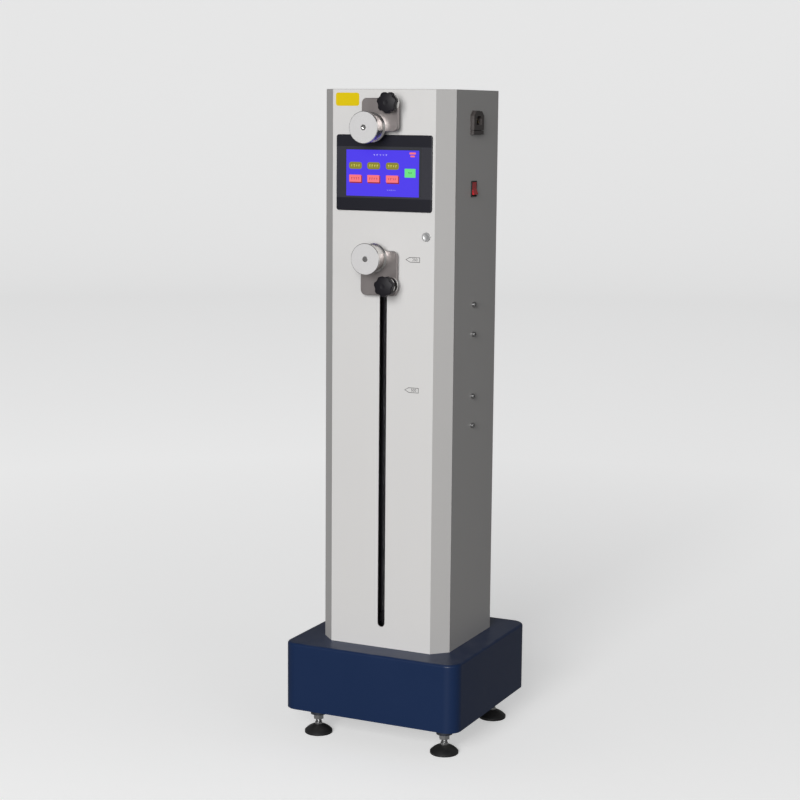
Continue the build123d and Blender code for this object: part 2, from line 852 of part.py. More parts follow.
def motor_pulley():
    """The driving pulley with the motor's shaft."""
    wheel = Pos(motor_offset, screw_line, pulley_foot) * pulley(motor_teeth, motor_shaft_radius)
    shaft = rod_z(motor_shaft_radius, motor_offset, screw_line, (motor_top - 24, pulley_foot + pulley_width))
    return wheel + shaft


def drive_belt():
    """The toothed belt's loop round both pulleys, drawn at its tooth tips."""
    near = screw_teeth * tooth_pitch / math.pi / 2 - 0.6 + 0.15
    far = motor_teeth * tooth_pitch / math.pi / 2 - 0.6 + 0.15

    def loop(thick):
        circles = Circle(near + thick) + Pos(motor_offset, 0) * Circle(far + thick)
        return make_hull(circles.edges())

    rim = (pulley_width - belt_width) / 2
    foot = pulley_foot + rim
    return Pos(0, screw_line) * upright_prism(loop(belt_thick) - loop(0), (foot, foot + belt_width))


# Touch panel and electronics

def hmi_housing():
    """The panel's bezel and the box behind it, with a recess for the window."""
    bezel = RectangleRounded(panel_width, panel_height, 5)
    shell = extrude(facing_front(panel_aside, front, panel_middle) * bezel, panel_stand)
    shell = fillet(shell.faces().sort_by(Axis.Y)[0].edges(), 1.5)
    half = panel_width / 2 - panel_box_margin
    rise = panel_height / 2 - panel_box_margin
    x = (panel_aside - half, panel_aside + half)
    shell += block(x, (front, front + 22), (panel_middle - rise, panel_middle + rise))
    x = (panel_aside - half + 12, panel_aside + half - 12)
    z = (panel_middle - rise + 12, panel_middle + rise - 12)
    shell += block(x, (front + 22, front + panel_box_depth), z)
    window = facing_front(panel_aside, front - panel_stand, panel_middle + window_rise)
    return shell - extrude(window * Rectangle(window_width, window_height), -2.3)


def hmi_screen():
    """The window over the display, set just under the bezel's face."""
    window = facing_front(panel_aside, front - panel_stand + 0.3, panel_middle + window_rise)
    return extrude(window * Rectangle(window_width - 0.2, window_height - 0.2), -2)


def hmi_clips():
    """Four clips on the box's edges that pull the bezel against the casing."""
    rise = panel_height / 2 - panel_box_margin
    inner = front + column_wall
    clip = block((-7, 7), (inner, inner + 16), (0, 3)) + block((-7, 7), (inner, inner + 4), (0, 9))
    pieces = []
    for side in (-1, 1):
        placed = Pos(panel_aside + side * 0.3 * panel_width, 0, 0) * clip
        pieces.append(Pos(0, 0, panel_middle + rise) * placed)
        pieces.append(Pos(0, 0, panel_middle - rise) * mirror(placed, Plane.XY))
    return group(pieces)


def power_supply():
    """An open-frame style supply in a punched case on the beam's back."""
    z = (column_foot + supply_up, column_foot + supply_up + supply_height)
    y = (spine_back, spine_back + 38)
    case = block((-49, 49), y, z)
    for row in range(6):
        level = z[0] + 40 + 14 * row
        case -= block((-36, 36), (y[1] - 1.5, y[1]), (level, level + 4))
    terminal = block((-44, 44), (y[0] + 8, y[1] - 10), (z[0] - 10, z[0]))
    return case + terminal


def motor_driver():
    """The motor's drive on its finned plate, below the control board."""
    z = (column_foot + driver_up, column_foot + driver_up + driver_height)
    y = (spine_back, spine_back + 34)
    body = block((-37, 37), y, z)
    for fin in range(6):
        x = -33 + 12 * fin
        body -= block((x, x + 6), (y[1] - 12, y[1]), z)
    return body


def control_board():
    """The controller's board on four pillars, with its chips, coils and connectors."""
    z = (column_foot + board_up, column_foot + board_up + board_height)
    face = spine_back + 8
    board = block((-55, 55), (face, face + 1.6), z)
    for x in (-48, 48):
        for level in (z[0] + 8, z[1] - 8):
            board += rod_y(4, x, (spine_back, face), level)
    top = face + 1.6
    middle = (z[0] + z[1]) / 2
    board += block((-12, 12), (top, top + 2), (middle - 12, middle + 12))
    board += block((-50, -38), (top, top + 12), (z[0] + 20, z[1] - 20))
    board += block((38, 50), (top, top + 9), (z[0] + 20, z[1] - 60))
    for step in range(3):
        board += rod_y(6, -24 + 18 * step, (top, top + 14), z[0] + 26)
    return board


# Start button, rocker and mains inlet

def button_housing():
    """A metal push-button's bezel, barrel and nut."""
    level = column_foot + button_up
    face = front - button_stand
    bezel = rod_y(button_radius, button_aside, (face, front), level)
    bezel = chamfer(bezel.faces().sort_by(Axis.Y)[0].edges(), 0.8)
    barrel = rod_y(button_radius - 1, button_aside, (front, front + 32), level)
    nut = facing_front(button_aside, front + column_wall + 4, level)
    nut = nut * (hexagon(2 * button_radius + 4) - Circle(button_radius - 2))
    body = bezel + barrel + extrude(nut, 4)
    return body - rod_y(button_radius - 2.3, button_aside, (face - 1, front + 6), level)


def start_button():
    """The button's metal cap, with a shallow dish for the finger."""
    level = column_foot + button_up
    face = front - button_stand - 0.5
    cap = rod_y(button_radius - 2.3 - sliding_gap, button_aside, (face, front + 3.5), level)
    dish = Pos(button_aside, face - 28, level) * Sphere(28.6)
    return cap - dish


def rocker_housing():
    """The switch's frame and its case behind the wall."""
    y = front + rocker_back
    level = column_foot + rocker_up
    frame = extrude(facing_right(right, y, level) * RectangleRounded(rocker_width, rocker_height, 1.5), 2)
    frame = chamfer(frame.faces().sort_by(Axis.X)[-1].edges(), 0.7)
    half = rocker_width / 2 - 1.5
    rise = rocker_height / 2 - 1.5
    case = block((right - 27, right), (y - half, y + half), (level - rise, level + rise))
    for row in (-1, 0, 1):
        for side in (-1, 1):
            pin_y = y + side * 6
            pin_z = level + row * 8
            case += block((right - 35, right - 27), (pin_y - 0.5, pin_y + 0.5), (pin_z - 2.5, pin_z + 2.5))
    well = block((right - 12, right + 3), (y - 10.2, y + 10.2), (level - 13.6, level + 13.6))
    pivot = rod_y(rocker_pin_radius + running_gap, right - 2, (y - 11, y + 11), level)
    return frame + case - well - pivot


def rocker_paddle():
    """The red rocker: two flat lobes that meet over the pivot, tilted with its upper end pressed in."""
    y = front + rocker_back
    level = column_foot + rocker_up
    pivot = right - 2
    half = 12.2
    low = 4
    high = low + half * math.tan(math.radians(rocker_tilt))
    upper = [(low, 0), (high, half), (high - 3, half), (-2, 8), (-6, 3)]
    lower = [(x, -up) for x, up in reversed(upper[1:])]
    profile = make_face(Polyline(*upper, *lower, close=True))
    profile = fillet(profile.vertices().group_by(Axis.Y)[-1].sort_by(Axis.X)[-1], 1)
    profile = fillet(profile.vertices().group_by(Axis.Y)[0].sort_by(Axis.X)[-1], 1)
    plane = Plane(origin=(pivot, y + 10, level), x_dir=(1, 0, 0), z_dir=(0, -1, 0))
    paddle = extrude(plane * (Rot(0, 0, rocker_tilt) * profile), 20)
    return paddle + rod_y(rocker_pin_radius, pivot, (y - 10.9, y + 10.9), level)


def inlet_outline(width, height, cut):
    """The inlet's face: a rectangle with its two upper corners cut."""
    face = Rectangle(width, height)
    return chamfer(face.vertices().group_by(Axis.Y)[-1], cut)


def inlet_housing():
    """A moulded mains inlet: a flange, a raised socket block and a slot for the fuse drawer below it."""
    y = front + inlet_back
    level = column_foot + inlet_up
    flange = extrude(facing_right(right, y, level) * inlet_outline(inlet_width, inlet_height, 9), 2)
    raised_height = inlet_height - 9.5
    raised_level = level + inlet_height / 2 - 0.8 - raised_height / 2
    raised_plane = facing_right(right + 2, y, raised_level)
    raised = extrude(raised_plane * inlet_outline(inlet_width - 2, raised_height, 9), inlet_stand - 2)
    raised = chamfer(raised.faces().sort_by(Axis.X)[-1].edges(), 0.8)
    half = inlet_width / 2 - 5
    rise = inlet_height / 2 - 4
    case = block((right - 26, right), (y - half, y + half), (level - rise, level + rise))
    socket = facing_right(right + inlet_stand, y, raised_level) * inlet_outline(24.5, 17, 5)
    body = flange + raised + case - extrude(socket, -inlet_stand - 14)
    body -= drawer_space(0)
    return body


def drawer_space(gap_less):
    """The fuse drawer's tray pocket, or the tray itself when drawn smaller."""
    y = front + inlet_back
    level = column_foot + inlet_up - inlet_height / 2
    half = 10 - gap_less
    z = (level + 4.6 + gap_less, level + 8 - gap_less)
    return block((right - 22 + gap_less, right + 2.5), (y - half, y + half), z)


def fuse_drawer():
    """The pull-out fuse drawer: a lipped front with a thin tray behind it."""
    y = front + inlet_back
    level = column_foot + inlet_up - inlet_height / 2
    half = inlet_width / 2 - 1
    x = (right + 2 + sliding_gap, right + inlet_stand - 0.5)
    lip = block(x, (y - half, y + half), (level + 0.4, level + 7.9))
    lip = chamfer(lip.faces().sort_by(Axis.X)[-1].edges(), 0.8)
    return lip + drawer_space(sliding_gap)


def inlet_pins():
    """The inlet's three blades: line and neutral low, earth high."""
    y = front + inlet_back
    level = column_foot + inlet_up + inlet_height / 2 - 0.8 - (inlet_height - 9.5) / 2
    x = (right - 14, right + 3)
    blades = [(-7, -2.5), (7, -2.5), (0, 3)]
    return group([
        block(x, (y + along - 1, y + along + 1), (level + up - 2, level + up + 2)) for along, up in blades
    ])


# The nodes

os.makedirs("parts", exist_ok=True)
save("base_housing", base_housing())
save("base_plate", base_plate())
save("foot_bosses", foot_bosses())
save("foot_lock_nuts", foot_lock_nuts())
foot_names = ("front_left", "front_right", "rear_left", "rear_right")
for foot_name, (foot_x, foot_y) in zip(foot_names, foot_places):
    save(f"foot_pad_{foot_name}", foot_pad(foot_x, foot_y))
    save(f"foot_stud_{foot_name}", foot_stud(foot_x, foot_y))
save("column_casing", column_casing())
save("rear_cover", rear_cover())
save("top_cap", top_cap())
save("panel_screws", panel_screws())
save("spine", spine())
save("side_brackets", side_brackets())
save("cap_screws", cap_screws())
save("guide_rails", guide_rails())
save("guide_blocks", guide_blocks())
save("bearing_blocks", bearing_blocks())
save("screw_bearings", screw_bearings())
save("lead_screw", lead_screw())
save("ball_nut", ball_nut())
save("carriage_plate", carriage_plate())
save("clamp_arm", clamp_arm())
save(
    "upper_clamp_plate",
    clamp_plate(
        upper_plate_aside,
        upper_plate_face,
        upper_plate_foot,
        upper_plate_height,
        capstan_high,
        upper_knob_across,
        knob_high,
    ),
)
save(
    "lower_clamp_plate",
    clamp_plate(
        lower_plate_aside,
        lower_plate_face,
        lower_plate_foot,
        lower_plate_height,
        capstan_low,
        lower_knob_across,
        knob_low,
    ),
)
save("upper_capstan", capstan(upper_plate_face, capstan_high))
save("lower_capstan", capstan(lower_plate_face, capstan_low))
save("upper_capstan_screw", capstan_screw(upper_plate_face, capstan_high, False))
save("lower_capstan_screw", capstan_screw(lower_plate_face, capstan_low, True))
save("upper_jaw_stud", jaw_stud(upper_knob_across, upper_plate_face, knob_high))
save("lower_jaw_stud", jaw_stud(lower_knob_across, lower_plate_face, knob_low))
save("upper_jaw", jaw(upper_knob_across, upper_plate_face, knob_high, 0))
save("lower_jaw", jaw(lower_knob_across, lower_plate_face, knob_low, lower_jaw_open))
save("upper_knob", star_knob(upper_knob_across, upper_plate_face, knob_high, 0))
save("lower_knob", star_knob(lower_knob_across, lower_plate_face, knob_low, lower_jaw_open))
save("load_cell_bracket", load_cell_bracket())
save("load_cell", load_cell())
save("load_cell_adapter", load_cell_adapter())
save("screw_pulley", screw_pulley())
save("motor_pulley", motor_pulley())
save("drive_belt", drive_belt())
save("drive_motor", drive_motor())
save("motor_bracket", motor_bracket())
save("hmi_housing", hmi_housing())
save("hmi_screen", hmi_screen())
save("hmi_clips", hmi_clips())
save("power_supply", power_supply())
save("motor_driver", motor_driver())
save("control_board", control_board())
save("button_housing", button_housing())
save("start_button", start_button())
save("rocker_housing", rocker_housing())
save("rocker_paddle", rocker_paddle())
save("inlet_housing", inlet_housing())
save("inlet_pins", inlet_pins())
save("fuse_drawer", fuse_drawer())
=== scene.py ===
import json
import math

import bpy
import numpy as np
from mathutils import Matrix, Vector


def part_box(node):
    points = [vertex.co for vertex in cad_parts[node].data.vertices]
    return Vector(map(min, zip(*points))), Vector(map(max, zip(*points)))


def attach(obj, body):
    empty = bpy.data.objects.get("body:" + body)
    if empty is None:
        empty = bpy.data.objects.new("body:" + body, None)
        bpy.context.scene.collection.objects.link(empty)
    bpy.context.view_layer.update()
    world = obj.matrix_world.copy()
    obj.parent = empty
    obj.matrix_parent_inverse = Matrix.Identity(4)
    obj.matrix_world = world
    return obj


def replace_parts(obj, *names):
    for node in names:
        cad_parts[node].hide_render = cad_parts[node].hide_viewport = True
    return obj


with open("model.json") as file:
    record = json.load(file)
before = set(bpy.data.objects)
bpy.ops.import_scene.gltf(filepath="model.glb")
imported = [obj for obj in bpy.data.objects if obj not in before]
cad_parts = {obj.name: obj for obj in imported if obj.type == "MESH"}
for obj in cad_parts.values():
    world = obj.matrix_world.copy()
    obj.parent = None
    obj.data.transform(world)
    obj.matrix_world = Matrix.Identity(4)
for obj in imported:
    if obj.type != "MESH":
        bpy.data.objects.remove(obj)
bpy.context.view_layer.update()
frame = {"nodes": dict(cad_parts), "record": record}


# Base: a folded steel box with a closing plate and four welded bosses, powder coated dark blue in a
# semi-gloss. The box is one fold-and-weld piece; the plate is screwed to its return flange from below.

def add(tree, kind, inputs=None, **settings):
    """One shader node with its settings, its constants and its links."""
    node = tree.nodes.new("ShaderNode" + kind)
    for key, value in settings.items():
        setattr(node, key, value)
    for key, value in (inputs or {}).items():
        if isinstance(value, bpy.types.NodeSocket):
            tree.links.new(value, node.inputs[key])
        else:
            node.inputs[key].default_value = value
    return node


def new_group(name, inputs, outputs):
    """An empty node group with its sockets; returns the tree, its inputs and its outputs."""
    tree = bpy.data.node_groups.new(name, "ShaderNodeTree")
    for label, kind, value in inputs:
        socket = tree.interface.new_socket(label, in_out="INPUT", socket_type="NodeSocket" + kind)
        socket.default_value = value
    for label, kind in outputs:
        tree.interface.new_socket(label, in_out="OUTPUT", socket_type="NodeSocket" + kind)
    return tree, tree.nodes.new("NodeGroupInput").outputs, tree.nodes.new("NodeGroupOutput").inputs


def grain_group():
    """Fine relief and slow mottling, both from noise over the object's own coordinates."""
    tree, given, made = new_group(
        "surface grain",
        [
            ("Stretch", "Vector", (1.0, 1.0, 1.0)),
            ("Fine scale", "Float", 1500.0),
            ("Coarse scale", "Float", 8.0),
            ("Relief", "Float", 0.2),
            ("Depth", "Float", 0.00005),
        ],
        [("Fine", "Float"), ("Coarse", "Float"), ("Normal", "Vector")],
    )
    place = add(tree, "TexCoord")
    stretched = add(
        tree,
        "VectorMath",
        {0: place.outputs["Object"], 1: given["Stretch"]},
        operation="MULTIPLY",
    )
    fine = add(
        tree,
        "TexNoise",
        {"Vector": stretched.outputs[0], "Scale": given["Fine scale"], "Detail": 3.0},
    )
    coarse = add(
        tree,
        "TexNoise",
        {"Vector": stretched.outputs[0], "Scale": given["Coarse scale"], "Detail": 5.0},
    )
    bump = add(
        tree,
        "Bump",
        {"Height": fine.outputs["Fac"], "Strength": given["Relief"], "Distance": given["Depth"]},
    )
    tree.links.new(fine.outputs["Fac"], made["Fine"])
    tree.links.new(coarse.outputs["Fac"], made["Coarse"])
    tree.links.new(bump.outputs["Normal"], made["Normal"])
    return tree


def dust_group():
    """A mask for the dust that settles on upward faces: the normal's upward part times a cloudy noise."""
    tree, given, made = new_group("settled dust", [("Amount", "Float", 0.2)], [("Mask", "Float")])
    shape = add(tree, "NewGeometry")
    parts = add(tree, "SeparateXYZ", {0: shape.outputs["Normal"]})
    facing = add(tree, "MapRange", {"Value": parts.outputs["Z"], "From Min": 0.6, "From Max": 1.0})
    place = add(tree, "TexCoord")
    cloud = add(tree, "TexNoise", {"Vector": place.outputs["Object"], "Scale": 30.0, "Detail": 6.0})
    patchy = add(tree, "MapRange", {"Value": cloud.outputs["Fac"], "From Min": 0.35, "From Max": 0.75})
    both = add(
        tree,
        "Math",
        {0: facing.outputs["Result"], 1: patchy.outputs["Result"]},
        operation="MULTIPLY",
    )
    mask = add(tree, "Math", {0: both.outputs[0], 1: given["Amount"]}, operation="MULTIPLY")
    tree.links.new(mask.outputs[0], made["Mask"])
    return tree


grain = grain_group()
dust = dust_group()
dust_colour = (0.45, 0.43, 0.4, 1.0)
dust_roughness = 0.9
gloss_spread = 0.06


def finish_of(
    name,
    colour,
    roughness,
    metallic=0.0,
    fine=1500.0,
    coarse=8.0,
    relief=0.15,
    depth=0.00005,
    mottle=0.04,
    stretch=(1.0, 1.0, 1.0),
    dusty=0.0,
    specular=0.5,
):
    """A finish with fine relief, slow changes of shade and gloss, and dust on its upward faces."""
    material = bpy.data.materials.new(name)
    material.use_nodes = True
    tree = material.node_tree
    shader = tree.nodes["Principled BSDF"]
    surface = add(
        tree,
        "Group",
        {"Stretch": stretch, "Fine scale": fine, "Coarse scale": coarse, "Relief": relief, "Depth": depth},
        node_tree=grain,
    )
    dark = [channel * (1 - mottle) for channel in colour] + [1.0]
    light = [min(channel * (1 + mottle), 1.0) for channel in colour] + [1.0]
    shade = add(
        tree,
        "Mix",
        data_type="RGBA",
        inputs={0: surface.outputs["Coarse"], 6: dark, 7: light},
    )
    settled = add(tree, "Group", {"Amount": dusty}, node_tree=dust)
    dusted = add(
        tree,
        "Mix",
        data_type="RGBA",
        inputs={0: settled.outputs["Mask"], 6: shade.outputs[2], 7: dust_colour},
    )
    gloss = add(
        tree,
        "MapRange",
        {
            "Value": surface.outputs["Coarse"],
            "To Min": roughness - gloss_spread,
            "To Max": roughness + gloss_spread,
        },
    )
    rough = add(
        tree,
        "Mix",
        data_type="FLOAT",
        inputs={0: settled.outputs["Mask"], 2: gloss.outputs["Result"], 3: dust_roughness},
    )
    tree.links.new(dusted.outputs[2], shader.inputs["Base Color"])
    tree.links.new(rough.outputs[0], shader.inputs["Roughness"])
    tree.links.new(surface.outputs["Normal"], shader.inputs["Normal"])
    shader.inputs["Metallic"].default_value = metallic
    shader.inputs["Specular IOR Level"].default_value = specular
    return material


def dress_node(node, material):
    """Puts a finish on one CAD node."""
    mesh = frame["nodes"][node].data
    mesh.materials.clear()
    mesh.materials.append(material)


def dress(slot_name, material):
    """Puts a finish on every CAD node of one material slot."""
    for part in frame["record"]["subparts"]:
        if part["material_slot"] == slot_name:
            dress_node(part["node"], material)


base_blue = (0.008, 0.023, 0.074)
base_paint = finish_of(
    "base_paint",
    base_blue,
    0.36,
    fine=900.0,
    relief=0.12,
    depth=0.00008,
    dusty=0.08,
    specular=0.25,
)
dress("base_paint", base_paint)
dress("underside_steel", finish_of("underside_paint", (0.03, 0.035, 0.05), 0.5, fine=700.0, relief=0.3))


# Feet: moulded bell-shaped pads on zinc-plated M12 studs, each locked by a hexagon nut against its boss.
# The stud's thread shows between the spanner collar and the nut.

def closed_lathe(radii, heights, centre):
    """A closed bar about Z as vertices and faces.

    The point of row i at angle a is (r cos a, r sin a, z_i), with r from the grid of radii.
    """
    rows, around = radii.shape
    angles = np.linspace(0, 2 * math.pi, around, endpoint=False)
    x = centre[0] + radii * np.cos(angles)
    y = centre[1] + radii * np.sin(angles)
    z = np.repeat(np.asarray(heights)[:, None], around, 1)
    verts = np.stack([x, y, z], -1).reshape(-1, 3)
    ends = [(centre[0], centre[1], heights[0]), (centre[0], centre[1], heights[-1])]
    verts = np.vstack([verts, ends])
    low = np.arange(rows - 1)[:, None] * around + np.arange(around)
    high = low + around
    following = np.roll(low, -1, axis=1)
    quads = np.stack([low, following, np.roll(high, -1, axis=1), high], -1).reshape(-1, 4)
    first = np.arange(around)
    last = first + (rows - 1) * around
    floor_fan = np.stack([np.full(around, rows * around), np.roll(first, -1), first], -1)
    roof_fan = np.stack([np.full(around, rows * around + 1), last, np.roll(last, -1)], -1)
    return verts, quads.tolist() + floor_fan.tolist() + roof_fan.tolist()


def plain_bar(centre, radius, low, high, around=36):
    """A round bar: r is the same at both ends."""
    return closed_lathe(np.full((2, around), radius), [low, high], centre)


def thread_bar(centre, low, high, crest, root, pitch, around=36, steps=10, taper=0.0008):
    """A right-handed thread, tapered at both ends.

    r = root + (crest - root) w, where w = 1.3 |2 frac(z / pitch - a / 2 pi) - 1| - 0.1, held to 0..1.
    """
    rows = int((high - low) / pitch * steps) + 1
    z = np.linspace(low, high, rows)
    a = np.linspace(0, 2 * math.pi, around, endpoint=False)
    wave = np.abs(2 * np.mod(z[:, None] / pitch - a[None, :] / (2 * math.pi), 1.0) - 1)
    radii = root + (crest - root) * np.clip(1.3 * wave - 0.1, 0, 1)
    near_end = np.minimum(z - low, high - z)[:, None]
    return closed_lathe(np.minimum(radii, root - taper + near_end), z, centre)


def hexagon_bar(centre, low, high, flats, chamfer=0.0005, around=72):
    """A hexagon bar: r = (flats / 2) / cos(a mod 60 - 30 degrees), cut back to a circle at both ends."""
    a = np.linspace(0, 2 * math.pi, around, endpoint=False)
    flat = (flats / 2) / np.cos(np.mod(a, math.pi / 3) - math.pi / 6)
    end = np.minimum(flat, flats / 2 * 1.01)
    radii = np.array([end, flat, flat, end])
    return closed_lathe(radii, [low, low + chamfer, high - chamfer, high], centre)


def joined(*meshes):
    """Several vertex and face lists as one."""
    verts, faces = [], []
    for part_verts, part_faces in meshes:
        start = sum(len(v) for v in verts)
        verts.append(np.asarray(part_verts))
        faces += [[index + start for index in face] for face in part_faces]
    return np.vstack(verts), faces


sharp_edge = math.radians(32.0)


def piece(name, mesh_data, material, body):
    """A named mesh object that rides on a body, smooth except across sharp edges."""
    verts, faces = mesh_data
    mesh = bpy.data.meshes.new(name)
    mesh.from_pydata(np.asarray(verts).tolist(), [], faces)
    mesh.polygons.foreach_set("use_smooth", [True] * len(mesh.polygons))
    mesh.set_sharp_from_angle(angle=sharp_edge)
    mesh.materials.append(material)
    made = bpy.data.objects.new(name, mesh)
    bpy.context.scene.collection.objects.link(made)
    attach(made, body)
    return made


zinc = finish_of("zinc_plate", (0.5, 0.5, 0.5), 0.32, metallic=1.0, fine=2200.0, relief=0.2, mottle=0.12)
pad_black = finish_of(
    "pad_plastic",
    (0.014, 0.014, 0.015),
    0.42,
    fine=1800.0,
    relief=0.35,
    depth=0.00006,
    dusty=0.12,
)
dress("zinc_steel", zinc)
dress("pad_plastic", pad_black)
foot_aside = 0.139
foot_fore = 0.122
foot_places = {
    "front_left": (-foot_aside, -foot_fore),
    "front_right": (foot_aside, -foot_fore),
    "rear_left": (-foot_aside, foot_fore),
    "rear_right": (foot_aside, foot_fore),
}
for foot, place in foot_places.items():
    stud = joined(
        plain_bar(place, radius=0.00495, low=0.0105, high=0.0177),
        hexagon_bar(place, low=0.0176, high=0.0221, flats=0.014),
        thread_bar(place, low=0.0215, high=0.0855, crest=0.006, root=0.00508, pitch=0.00175),
    )
    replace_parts(piece(f"threaded_stud_{foot}", stud, zinc, f"stud_{foot}"), f"foot_stud_{foot}")


# Column: folded sheet with a flat front, four cut corners, a screwed rear cover and a lid, all powder coated.
# The front face is painted paler than the cut corners, sides, back and lid: painted light on the face turned
# to the lamps.

painted_light_front_grey = (0.70, 0.69, 0.68)
side_grey = (0.52, 0.51, 0.50)
mottle_share = 0.05
column_paint = finish_of(
    "column_paint",
    side_grey,
    0.42,
    fine=1100.0,
    relief=0.1,
    depth=0.00006,
    mottle=0.015,
)
column_tree = column_paint.node_tree
shade_mix, dust_mix = [
    node for node in column_tree.nodes
    if node.bl_idname == "ShaderNodeMix" and node.data_type == "RGBA"
]
object_place = add(column_tree, "TexCoord")
normal_parts = add(column_tree, "SeparateXYZ", {0: object_place.outputs["Normal"]})
# Painted light: faces turned to the front get the paler grey, all others the plain side grey.
painted_light_front_mask = add(
    column_tree,
    "MapRange",
    {"Value": normal_parts.outputs["Y"], "From Min": -0.85, "From Max": -0.97},
)
front_light_and_side_mix = add(
    column_tree,
    "Mix",
    data_type="RGBA",
    inputs={0: painted_light_front_mask.outputs["Result"], 6: side_grey + (1.0,), 7: painted_light_front_grey + (1.0,)},
)
tinted = add(
    column_tree,
    "Mix",
    data_type="RGBA",
    blend_type="MULTIPLY",
    inputs={0: mottle_share, 6: front_light_and_side_mix.outputs[2], 7: shade_mix.outputs[2]},
)
column_tree.links.new(tinted.outputs[2], dust_mix.inputs[6])
dress("column_paint", column_paint)
dress("black_screws", finish_of("screw_steel", (0.38, 0.38, 0.38), 0.35, metallic=1.0, mottle=0.1))


# Printed marks on the column: a plain yellow sticker and the two gauge-length arrows with plain numbers.
# They are thin prints on the paint, so each is a slab a tenth of a millimetre thick.

front_face = -0.127
print_thick = 0.0001


def rounded_outline(width, height, corner, steps=6):
    """Points round a rectangle whose corners are quarter circles, anticlockwise as the operator sees them."""
    quarter = np.linspace(0, math.pi / 2, steps)
    points = []
    for turn, (sx, sz) in enumerate([(1, 1), (-1, 1), (-1, -1), (1, -1)]):
        a = quarter + turn * math.pi / 2
        cx = sx * (width / 2 - corner)
        cz = sz * (height / 2 - corner)
        points.append(np.stack([cx + corner * np.cos(a), cz + corner * np.sin(a)], -1))
    return np.vstack(points)


def front_slab(outline, centre, face, thick=print_thick, hole=None):
    """A flat print whose back lies at y = face and whose front is thick nearer; a hole makes it a frame."""
    outer = np.asarray(outline) + np.asarray(centre)
    count = len(outer)

    def ring(points, y):
        return np.stack([points[:, 0], np.full(len(points), y), points[:, 1]], -1)

    nxt = [(i + 1) % count for i in range(count)]
    rings = [ring(outer, face - thick), ring(outer, face)]
    edge = [[i, i + count, nxt[i] + count, nxt[i]] for i in range(count)]
    if hole is None:
        caps = [list(range(count)), list(range(2 * count - 1, count - 1, -1))]
        return np.vstack(rings), caps + edge
    inner = np.asarray(hole) + np.asarray(centre)
    rings += [ring(inner, face - thick), ring(inner, face)]
    faces = [[i, nxt[i], nxt[i] + 2 * count, i + 2 * count] for i in range(count)]
    faces += [[i + count, i + 3 * count, nxt[i] + 3 * count, nxt[i] + count] for i in range(count)]
    faces += edge
    faces += [[i + 2 * count, nxt[i] + 2 * count, nxt[i] + 3 * count, i + 3 * count] for i in range(count)]
    return np.vstack(rings), faces


def number_mesh(text, size, centre, face, thick=print_thick):
    """A plain number as a thin print, centred on a point of the front face."""
    curve = bpy.data.curves.new("number", "FONT")
    curve.body = text
    curve.size = size
    curve.extrude = thick / 2
    curve.align_x = "CENTER"
    curve.align_y = "CENTER"
    holder = bpy.data.objects.new("number", curve)
    bpy.context.scene.collection.objects.link(holder)
    mesh = bpy.data.meshes.new_from_object(holder.evaluated_get(bpy.context.evaluated_depsgraph_get()))
    flat = np.zeros(len(mesh.vertices) * 3)
    mesh.vertices.foreach_get("co", flat)
    flat = flat.reshape(-1, 3)
    verts = np.stack([flat[:, 0] + centre[0], face - thick / 2 - flat[:, 2], flat[:, 1] + centre[1]], -1)
    faces = [list(polygon.vertices) for polygon in mesh.polygons]
    bpy.data.objects.remove(holder)
    bpy.data.meshes.remove(mesh)
    bpy.data.curves.remove(curve)
    return verts, faces


sticker_yellow = finish_of(
    "sticker_yellow",
    (0.73, 0.54, 0.001),
    0.6,
    fine=2500.0,
    relief=0.05,
    mottle=0.05,
    specular=0.15,
)
print_grey = finish_of("print_grey", (0.07, 0.065, 0.065), 0.5, fine=2500.0, relief=0.05)
sticker_outline = rounded_outline(width=0.050, height=0.025, corner=0.005)
sticker_centre = (-0.077, 1.2640)
sticker = front_slab(sticker_outline, sticker_centre, front_face)
piece("yellow_sticker", sticker, sticker_yellow, "frame")
arrow = np.array([
    (0.0195, -0.005),
    (0.0195, 0.005),
    (-0.0015, 0.005),
    (-0.0105, 0.0),
    (-0.0015, -0.005),
])
arrow_hole = np.array([
    (0.0185, -0.0040),
    (0.0185, 0.0040),
    (-0.0011, 0.0040),
    (-0.0086, 0.0),
    (-0.0011, -0.0040),
])
arrow_aside = 0.0585
number_aside = 0.0675
number_size = 0.0075
gauge_levels = {"250": 0.964, "500": 0.714}
for label, level in gauge_levels.items():
    mark = joined(
        front_slab(arrow, (arrow_aside, level), front_face, hole=arrow_hole),
        number_mesh(label, number_size, (number_aside, level), front_face),
    )
    piece(f"gauge_arrow_{label}", mark, print_grey, "frame")


# Inside the column: a box-section beam with ground rails, recirculating blocks and a ball screw.
# The beam's dark paint is painted shade; with the oiled steel it shows only as shade behind the slot.

def ball_groove_bar(centre, low, high, crest, depth, pitch, half=0.24, around=32, steps=14):
    """A ball screw's grooved length.

    r = crest - depth sqrt(1 - (u / half)^2) where |u| < half and crest elsewhere, with u the phase
    z / pitch - a / 2 pi brought to -0.5..0.5.
    """
    rows = int((high - low) / pitch * steps) + 1
    z = np.linspace(low, high, rows)
    a = np.linspace(0, 2 * math.pi, around, endpoint=False)
    phase = np.mod(z[:, None] / pitch - a[None, :] / (2 * math.pi) + 0.5, 1.0) - 0.5
    hollow = np.sqrt(np.clip(1 - (phase / half) ** 2, 0, 1))
    return closed_lathe(crest - depth * hollow, z, centre)
